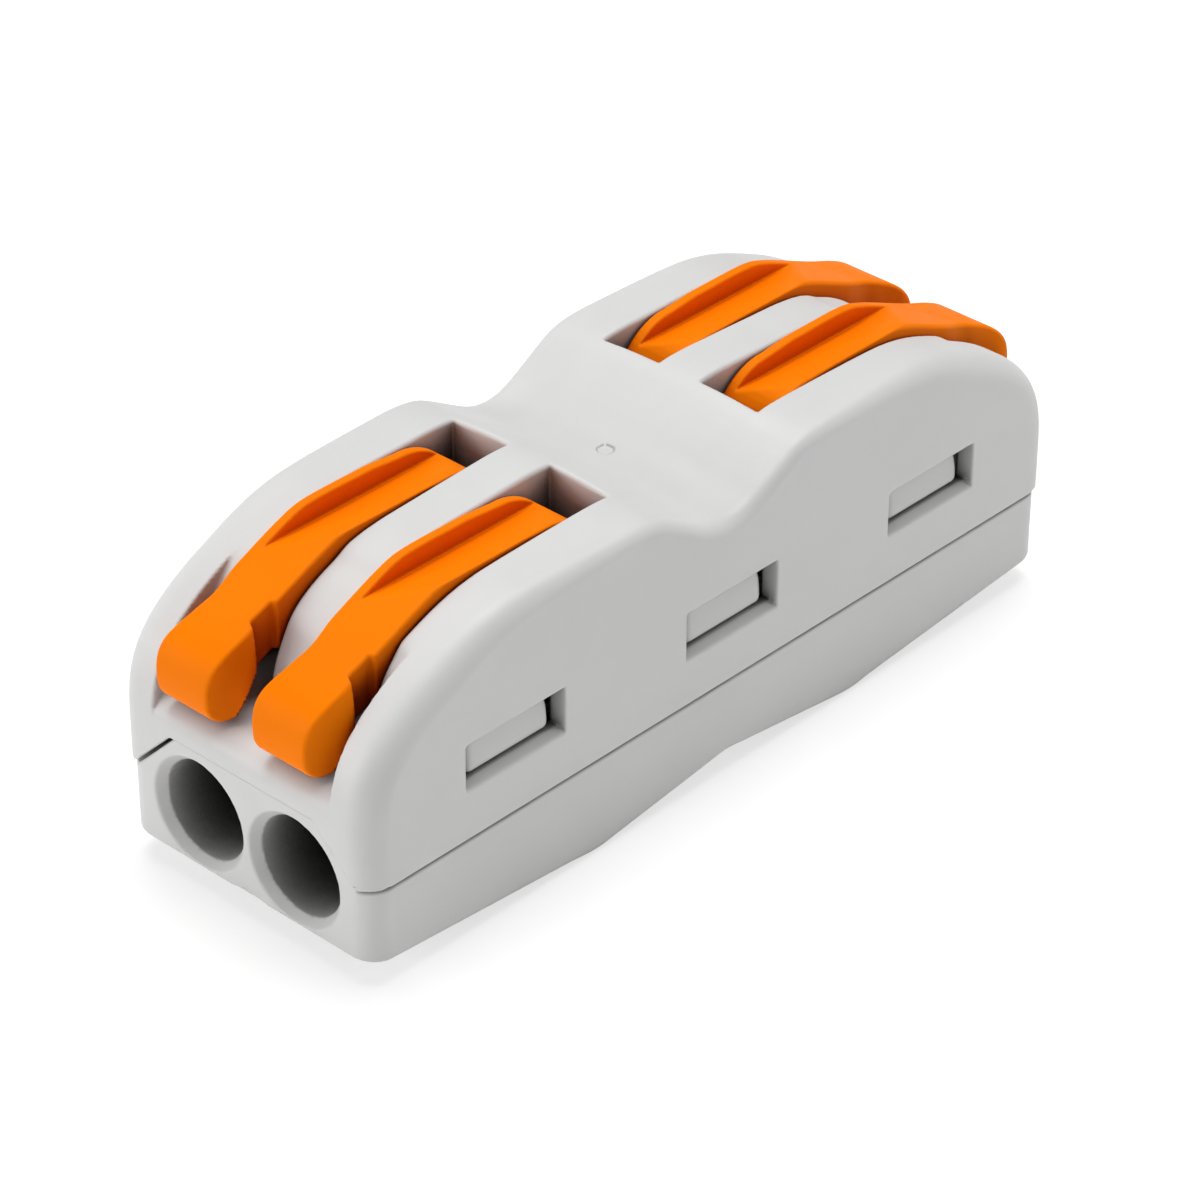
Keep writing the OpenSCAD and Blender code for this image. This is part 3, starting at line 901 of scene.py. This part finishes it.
add_housing("upper_housing", upper, (0, 0, 5.1), (25.4, 9.0, 17.6), mirror=(0, 1))
add_housing("lower_housing", lower, (0, -8.8, -0.5), (25.2, 8.8, 11.6), mirror=(0,))
for side, side_sign in SIDES:
    add_levers(side, side_sign)

# ------------------------------------------------------------------
# springs: one bent strip each, with its clamping window
# ------------------------------------------------------------------
STRIP_THICKNESS = 0.5
LOOP_X, LOOP_Z, LOOP_RADIUS = 3.2, 9.0, 2.14
BEND_X, BEND_Z, BEND_RADIUS = 12.0, 10.4, 0.75


def arc(center_x, center_z, radius, angles):
    return [(center_x + radius * math.cos(a), center_z + radius * math.sin(a))
            for a in np.radians(angles)]


# x, z of the strip's middle: bottom leg, loop, top leg, bend and the leg going down
SPRING_PATH = np.array(
    [(7.2 - 0.25 * i, LOOP_Z - LOOP_RADIUS) for i in range(16)]
    + arc(LOOP_X, LOOP_Z, LOOP_RADIUS, np.arange(-97.5, -262.6, -7.5))
    + [(LOOP_X + 0.4 * i, BEND_Z + BEND_RADIUS) for i in range(23)]
    + arc(BEND_X, BEND_Z, BEND_RADIUS, np.arange(90, -1, -9))
    + [(BEND_X + BEND_RADIUS, z)
       for z in (9.98, 9.5, 9.0, 8.4, 7.8, 7.2, 6.6, 6.1, 5.75, 5.35, 4.95)])
STRIP_Y = [-1.7, -1.2, -0.6, 0.0, 0.6, 1.2, 1.7]  # across the strip
# the window in the leg going down
WINDOW_X, WINDOW_LOW, WINDOW_HIGH, WINDOW_HALF_WIDTH = 12.7, 5.74, 9.51, 1.2
# step to the neighbouring patch: the ends of the shared edge
PATCH_EDGES = {
    (-1, 0): ((0, 0), (0, 1)),
    (1, 0): ((1, 1), (1, 0)),
    (0, -1): ((1, 0), (0, 0)),
    (0, 1): ((0, 1), (1, 1)),
}


def is_solid(i, j):
    """Whether the patch from station i and column j is on the strip and off its window."""
    if not (0 <= i < len(SPRING_PATH) - 1 and 0 <= j < len(STRIP_Y) - 1):
        return False
    start, end = SPRING_PATH[i], SPRING_PATH[i + 1]
    beside = (start[0] > WINDOW_X and end[0] > WINDOW_X
              and start[1] < WINDOW_HIGH and end[1] > WINDOW_LOW)
    return not (beside and -WINDOW_HALF_WIDTH <= STRIP_Y[j] < WINDOW_HALF_WIDTH)


def spring_strip(name, side_sign, row_sign):
    along_path = np.gradient(SPRING_PATH, axis=0)
    along_path /= np.linalg.norm(along_path, axis=1)[:, None]
    across = np.stack([-along_path[:, 1], along_path[:, 0]], 1)
    verts, key = [], {}
    for i, (point, normal) in enumerate(zip(SPRING_PATH, across)):
        for j, y in enumerate(STRIP_Y):
            for face, half in enumerate((-STRIP_THICKNESS / 2, STRIP_THICKNESS / 2)):
                key[i, j, face] = len(verts)
                x, z = point + normal * half
                verts.append((side_sign * x * MM, (row_sign * POLE_Y + y) * MM, z * MM))

    faces = []
    for i, j in itertools.product(range(len(SPRING_PATH) - 1), range(len(STRIP_Y) - 1)):
        if not is_solid(i, j):
            continue
        ring = [(i, j), (i, j + 1), (i + 1, j + 1), (i + 1, j)]
        faces.append([key[(*at, 1)] for at in ring])
        faces.append([key[(*at, 0)] for at in (ring[0], ring[3], ring[2], ring[1])])
        for (di, dj), (a, b) in PATCH_EDGES.items():
            if not is_solid(i + di, j + dj):
                a, b = (i + a[0], j + a[1]), (i + b[0], j + b[1])
                faces.append([key[(*a, 0)], key[(*b, 0)], key[(*b, 1)], key[(*a, 1)]])
    mesh = bpy.data.meshes.new(name)
    mesh.from_pydata(verts, [], faces)
    bm = bmesh.new()
    bm.from_mesh(mesh)
    loose = [vert for vert in bm.verts if not vert.link_faces]
    bmesh.ops.delete(bm, geom=loose, context="VERTS")
    bmesh.ops.recalc_face_normals(bm, faces=bm.faces)
    bm.to_mesh(mesh)
    bm.free()
    return add_object(name, mesh, STEEL)


for (side, side_sign), (row, row_sign) in itertools.product(SIDES, ROWS):
    pole = f"{side}_{row}"
    ob = spring_strip(f"cage_spring_{pole}", side_sign, row_sign)
    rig.replaces(ob, f"spring_loop_{pole}", f"spring_leg_{pole}")
    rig.slot(ob, "spring")
    # the strip bends from the top of its loop to a little way along its top leg
    outward = Vector((side_sign * 1.0, 0, 1.0)).normalized()
    middle = Vector((0, row_sign * POLE_Y * MM, 0))
    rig.blend(ob, "housing", f"clamp_body_{pole}",
             outward * 0.01015 + middle, outward * 0.0123 + middle)
    add_bevel(ob, width=0.06, segments=2, angle=50)

# ------------------------------------------------------------------
# busbars
# ------------------------------------------------------------------
# x, half width from the end to the wide middle
BUSBAR_EDGE = [(13.9, 0.75), (13.55, 1.1), (8.1, 1.1), (7.75, 1.25), (7.5, 1.65)]


def busbar(name, row_sign):
    rear_edge = mirrored(BUSBAR_EDGE)
    outline = rear_edge + [(x, -y) for x, y in rear_edge[::-1]]
    bm = bmesh.new()
    face = bm.faces.new([
        bm.verts.new((x * MM, (y + row_sign * POLE_Y) * MM, BUSBAR_Z * MM)) for x, y in outline])
    grown = bmesh.ops.extrude_face_region(bm, geom=[face])["geom"]
    top = [item for item in grown if isinstance(item, bmesh.types.BMVert)]
    bmesh.ops.translate(bm, verts=top, vec=(0, 0, BUSBAR_THICKNESS * MM))
    bmesh.ops.recalc_face_normals(bm, faces=bm.faces)
    mesh = bpy.data.meshes.new(name)
    bm.to_mesh(mesh)
    bm.free()
    ob = add_object(name, mesh, TIN)
    add_bevel(ob, width=0.12, segments=3, angle=25)
    return ob


for row, row_sign in ROWS:
    ob = busbar(f"busbar_{row}_strip", row_sign)
    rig.replaces(ob, f"busbar_{row}")
    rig.slot(ob, "busbar")
    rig.ride(ob, "housing")

# ------------------------------------------------------------------
# floor, light and camera, metres unless a name says otherwise
# ------------------------------------------------------------------
FLOOR_HALF, FLOOR_CELLS, FLOOR_Z = 1.2, 24, -0.00002
LIGHT_DISTANCE = 0.60
LIGHT_TARGET = Vector((0, 0, 0.008))
# name, direction from the part, width and height, watts
LIGHTS = [
    ("key_soft", (0.16, 0.12, 0.98), (0.42, 0.42), 3.2),
    ("fill_right", (0.60, -0.76, 0.25), (0.42, 0.42), 0.64),
    ("end_soft", (-0.84, 0.47, 0.24), (0.42, 0.16), 1.42),
]
WORLD_STRENGTH = 0.20
CAMERA_AZIMUTH = math.radians(-47.033)  # from the front, towards the right
CAMERA_ELEVATION = math.radians(33.273)
CAMERA_ROLL = math.radians(0.185)
CAMERA_DISTANCE_MM = 224.67949
CAMERA_AIM_Z_MM = 7.1689921
CAMERA_LEFT_MM, CAMERA_DOWN_MM = 0.23592165, 0.74157489  # shift in the picture plane
LENS_MM, SENSOR_MM = 135.16674, 36.0


def add_floor():
    ticks = [-FLOOR_HALF + 2 * FLOOR_HALF * i / FLOOR_CELLS for i in range(FLOOR_CELLS + 1)]
    row = FLOOR_CELLS + 1
    corners = [j * row + i for j in range(FLOOR_CELLS) for i in range(FLOOR_CELLS)]
    mesh = bpy.data.meshes.new("floor")
    mesh.from_pydata([(x, y, FLOOR_Z) for y in ticks for x in ticks], [],
                     [(a, a + 1, a + row + 1, a + row) for a in corners])
    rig.stage(add_object("floor", mesh, paper(), smooth=False))


def add_light(name, direction, size, power):
    light = bpy.data.lights.new(name, "AREA")
    light.shape = "RECTANGLE"
    light.size, light.size_y = size
    light.energy = power
    ob = bpy.data.objects.new(name, light)
    place = Vector(direction).normalized() * LIGHT_DISTANCE
    ob.location = place
    ob.rotation_euler = (LIGHT_TARGET - place).to_track_quat("-Z", "Y").to_euler()
    bpy.context.scene.collection.objects.link(ob)


def add_camera():
    level = math.cos(CAMERA_ELEVATION)
    back = Vector((math.sin(CAMERA_AZIMUTH) * level, -math.cos(CAMERA_AZIMUTH) * level,
                   math.sin(CAMERA_ELEVATION)))
    right = Vector((0, 0, 1)).cross(back).normalized()
    up = back.cross(right).normalized()
    camera = bpy.data.cameras.new("camera")
    camera.sensor_width = SENSOR_MM
    camera.lens = LENS_MM
    camera.clip_start = 0.01
    camera.clip_end = 10
    ob = bpy.data.objects.new("camera", camera)
    pose = Matrix((right, up, back)).transposed().to_4x4()
    pose = pose @ Matrix.Rotation(CAMERA_ROLL, 4, "Z")
    pose.translation = (Vector((0, 0, CAMERA_AIM_Z_MM)) + back * CAMERA_DISTANCE_MM
                        - right * CAMERA_LEFT_MM - up * CAMERA_DOWN_MM) * MM
    ob.matrix_world = pose
    bpy.context.scene.collection.objects.link(ob)
    bpy.context.scene.camera = ob


add_floor()
world = bpy.data.worlds.new("studio")
world.use_nodes = True
background = world.node_tree.nodes["Background"]
background.inputs["Color"].default_value = (1.0, 1.0, 1.0, 1)
background.inputs["Strength"].default_value = WORLD_STRENGTH
bpy.context.scene.world = world
for entry in LIGHTS:
    add_light(*entry)
bpy.context.scene.view_settings.view_transform = "Standard"
bpy.context.scene.view_settings.look = "None"
add_camera()

bpy.context.view_layer.update()
with open("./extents.json", "w") as file:
    json.dump({"cad": cad_bounds, "visual": plain(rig.bounds())}, file)
